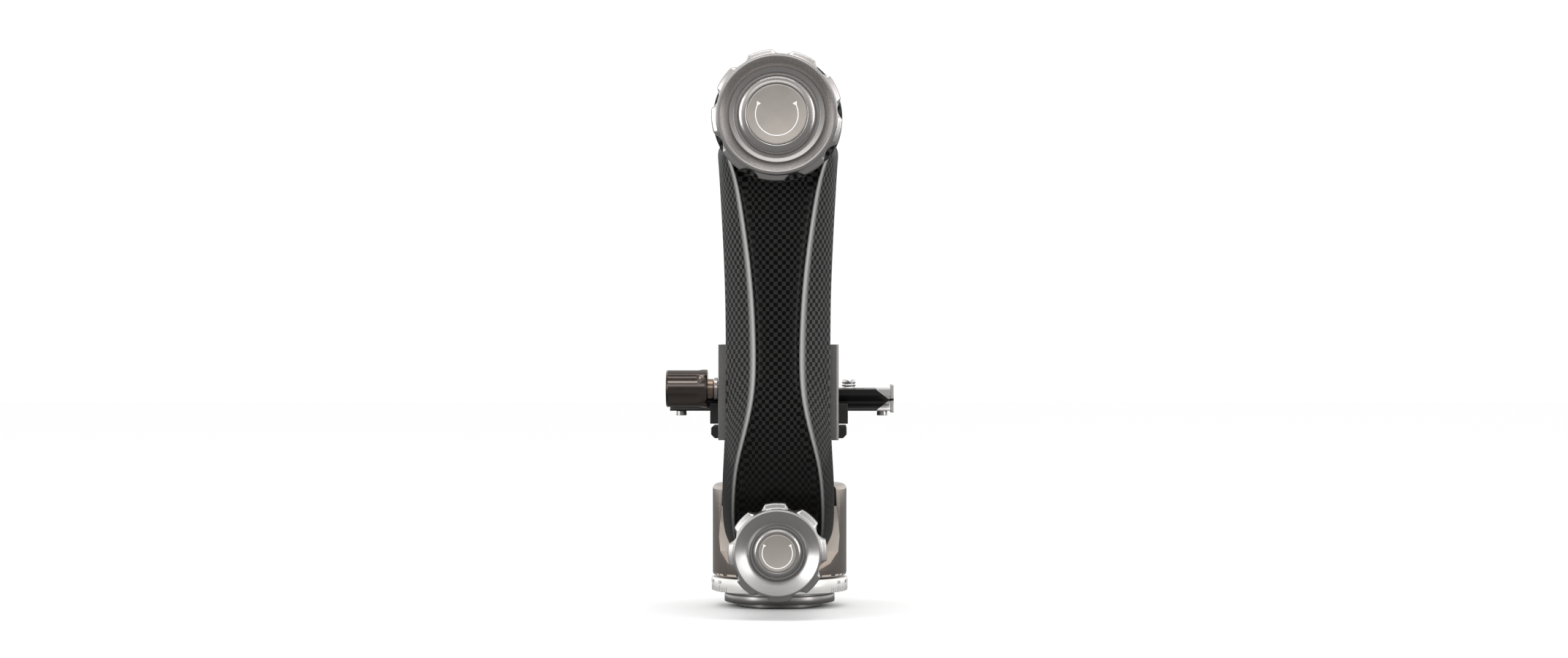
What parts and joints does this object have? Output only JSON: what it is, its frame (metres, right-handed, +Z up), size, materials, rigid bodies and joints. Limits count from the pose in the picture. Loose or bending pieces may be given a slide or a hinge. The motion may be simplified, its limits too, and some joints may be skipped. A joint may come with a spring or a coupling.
{
  "type": "gimbal head mount",
  "caption": "Alt-azimuth gimbal head: carbon arm on a panning foot, with a tilting cradle, height slide and clamped lens plate, locked by lobed knobs.",
  "frame": {"origin": "centre of the face that meets the tripod, on the pan axis", "axes": "+Z up along the pan axis, the tilt axis along Y with the arm and lock knobs on the -Y side, the lens along X"},
  "size_m": [0.0995, 0.1363, 0.24],
  "materials": {
    "satin_aluminium": "satin turned",
    "silver_aluminium": "bright satin, engraved scale",
    "titanium_grey_aluminium": "satin turned, titanium grey",
    "champagne_aluminium": "satin anodised, champagne grey",
    "sandblasted_aluminium": "sandblasted",
    "grey_anodised_aluminium": "satin anodised grey",
    "gunmetal_aluminium": "satin anodised gunmetal",
    "black_anodised_aluminium": "matt black anodised",
    "carbon_fibre": "clear-coated woven carbon fibre",
    "stainless_steel": "bright machined",
    "black_oxide_steel": "black oxide",
    "brass": "machined brass",
    "black_bearing_plastic": "matt"
  },
  "bodies": {
    "base": {"base_plate": "satin_aluminium", "thread_insert": "stainless_steel", "pan_spindle": "stainless_steel", "scale_ring": "silver_aluminium", "base_screw_1": "black_oxide_steel", "base_screw_2": "black_oxide_steel", "base_screw_3": "black_oxide_steel", "spindle_nut": "stainless_steel"},
    "pan": {"foot": "champagne_aluminium", "pan_thrust_washer": "black_bearing_plastic", "arm": "carbon_fibre", "arm_bolt_left": "black_oxide_steel", "arm_bolt_right": "black_oxide_steel", "head_insert": "satin_aluminium", "tilt_bearing_outer": "stainless_steel", "tilt_bearing_inner": "stainless_steel", "bearing_spacer": "satin_aluminium", "pan_lock_bush": "stainless_steel"},
    "pan_brake": {"pan_brake_shoe": "brass"},
    "pan_knob": {"pan_lock_knob": "titanium_grey_aluminium", "pan_lock_cap": "sandblasted_aluminium", "pan_lock_stud": "stainless_steel"},
    "tilt_brake": {"tilt_brake_piston": "brass"},
    "tilt_knob": {"tilt_lock_knob": "titanium_grey_aluminium", "tilt_lock_cap": "sandblasted_aluminium"},
    "cradle": {"tilt_axle": "stainless_steel", "axle_nut": "stainless_steel", "tilt_thrust_washer": "black_bearing_plastic", "hub_disc": "grey_anodised_aluminium", "swing_rail": "grey_anodised_aluminium", "rail_screw_upper": "black_oxide_steel", "rail_screw_lower": "black_oxide_steel", "rail_stop_upper": "black_oxide_steel", "rail_stop_lower": "black_oxide_steel"},
    "bracket": {"bracket": "grey_anodised_aluminium", "clamp_body": "grey_anodised_aluminium", "clamp_screw_left": "black_oxide_steel", "clamp_screw_right": "black_oxide_steel", "jaw_pin_left": "stainless_steel", "jaw_pin_right": "stainless_steel"},
    "height_gib": {"height_gib": "brass"},
    "height_knob": {"height_lock_knob": "gunmetal_aluminium", "height_lock_stud": "stainless_steel", "height_collar": "titanium_grey_aluminium"},
    "jaw": {"clamp_jaw": "grey_anodised_aluminium"},
    "jaw_knob": {"clamp_knob": "titanium_grey_aluminium", "jaw_stud": "stainless_steel"},
    "lens_plate": {"lens_plate": "black_anodised_aluminium", "camera_screw": "stainless_steel", "end_stop": "black_anodised_aluminium", "end_stop_bolt": "black_oxide_steel", "safety_screw_left": "stainless_steel", "safety_screw_right": "stainless_steel"}
  },
  "joints": [
    {"name": "pan", "type": "hinge", "parent": "base", "child": "pan", "pos_m": [0, 0, 0.0138], "axis": [0, 0, 1], "continuous": true},
    {"name": "tilt", "type": "hinge", "parent": "pan", "child": "cradle", "pos_m": [0, -0.047, 0.2125], "axis": [0, 1, 0], "continuous": true},
    {"name": "height", "type": "slide", "parent": "cradle", "child": "bracket", "axis": [0, 0, 1], "range_m": [-0.008, 0.06]},
    {"name": "lens_slide", "type": "slide", "parent": "bracket", "child": "lens_plate", "axis": [1, 0, 0], "range_m": [-0.0125, 0.0105]},
    {"name": "pan_brake_slide", "type": "slide", "parent": "pan", "child": "pan_brake", "axis": [0, -1, 0], "range_m": [0, 0.00101]},
    {"name": "pan_lock", "type": "hinge", "parent": "pan_brake", "child": "pan_knob", "pos_m": [0, -0.08, 0.0284], "axis": [0, -1, 0], "range_deg": [0, 360]},
    {"name": "tilt_brake_slide", "type": "slide", "parent": "pan", "child": "tilt_brake", "axis": [0, -1, 0], "range_m": [0, 0.00101]},
    {"name": "tilt_lock", "type": "hinge", "parent": "tilt_brake", "child": "tilt_knob", "pos_m": [0, -0.097, 0.2125], "axis": [0, -1, 0], "range_deg": [0, 360]},
    {"name": "height_gib_slide", "type": "slide", "parent": "bracket", "child": "height_gib", "axis": [-1, 0, 0], "range_m": [0, 0.00051]},
    {"name": "height_lock", "type": "hinge", "parent": "height_gib", "child": "height_knob", "pos_m": [-0.0261, -0.03555, 0.0971], "axis": [-1, 0, 0], "range_deg": [0, 180]},
    {"name": "jaw_slide", "type": "slide", "parent": "bracket", "child": "jaw", "axis": [0, 1, 0], "range_m": [0, 0.00201]},
    {"name": "clamp_lock", "type": "hinge", "parent": "jaw", "child": "jaw_knob", "pos_m": [0, 0.024, 0.08405], "axis": [0, 1, 0], "range_deg": [0, 720]}
  ],
  "couplings": [
    {"joint": "pan_brake_slide", "follows": "pan_lock", "m_per_rad": 0.00015915},
    {"joint": "tilt_brake_slide", "follows": "tilt_lock", "m_per_rad": 0.00015915},
    {"joint": "height_gib_slide", "follows": "height_lock", "m_per_rad": 0.00015915},
    {"joint": "jaw_slide", "follows": "clamp_lock", "m_per_rad": 0.00015915}
  ]
}
